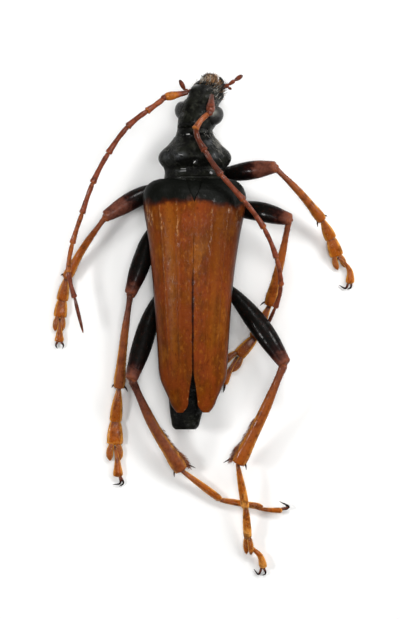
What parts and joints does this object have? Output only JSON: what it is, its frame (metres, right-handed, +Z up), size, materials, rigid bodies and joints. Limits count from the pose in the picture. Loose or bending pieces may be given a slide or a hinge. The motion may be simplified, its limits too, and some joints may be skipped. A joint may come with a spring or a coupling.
{
  "type": "long-horned beetle, a female mastododera nodicollis, as a dried museum specimen",
  "caption": "Life-size still long-horned beetle with a knobbed black neck, amber wing cases and spread rust-coloured legs and feelers.",
  "frame": {"origin": "on the floor, under the middle of the specimen's bounding box", "axes": "+Y towards the head, +X the beetle's right side, +Z up through its back"},
  "size_m": [0.0238, 0.0398, 0.0068],
  "materials": {
    "black_cuticle": "glossy black cuticle",
    "elytra": "amber wing cases, black at the base, finely pitted",
    "rust_cuticle": "rust-orange cuticle with short hairs",
    "eye": "finely faceted dark eye",
    "mouthparts": "pale brown mouth plate"
  },
  "bodies": {
    "root": {"abdomen": "black_cuticle", "antenna_left_middle": "rust_cuticle", "antenna_left_scape": "rust_cuticle", "antenna_left_tip": "rust_cuticle", "antenna_right_middle": "rust_cuticle", "antenna_right_scape": "rust_cuticle", "antenna_right_tip": "rust_cuticle", "elytron_left": "elytra", "elytron_right": "elytra", "eye_left": "eye", "eye_right": "eye", "head": "black_cuticle", "labrum": "mouthparts", "leg_fore_left_coxa": "black_cuticle", "leg_fore_left_femur": "black_cuticle", "leg_fore_left_tarsus": "rust_cuticle", "leg_fore_left_tibia": "rust_cuticle", "leg_fore_right_coxa": "black_cuticle", "leg_fore_right_femur": "black_cuticle", "leg_fore_right_tarsus": "rust_cuticle", "leg_fore_right_tibia": "rust_cuticle", "leg_hind_left_coxa": "black_cuticle", "leg_hind_left_femur": "black_cuticle", "leg_hind_left_tarsus": "rust_cuticle", "leg_hind_left_tibia": "rust_cuticle", "leg_hind_right_coxa": "black_cuticle", "leg_hind_right_femur": "black_cuticle", "leg_hind_right_tarsus": "rust_cuticle", "leg_hind_right_tibia": "rust_cuticle", "leg_mid_left_coxa": "black_cuticle", "leg_mid_left_femur": "black_cuticle", "leg_mid_left_tarsus": "rust_cuticle", "leg_mid_left_tibia": "rust_cuticle", "leg_mid_right_coxa": "black_cuticle", "leg_mid_right_femur": "black_cuticle", "leg_mid_right_tarsus": "rust_cuticle", "leg_mid_right_tibia": "rust_cuticle", "mandible_left": "black_cuticle", "mandible_right": "black_cuticle", "palp_left": "rust_cuticle", "palp_right": "rust_cuticle", "pronotum": "black_cuticle", "scutellum": "black_cuticle", "thorax": "black_cuticle"}
  },
  "joints": []
}
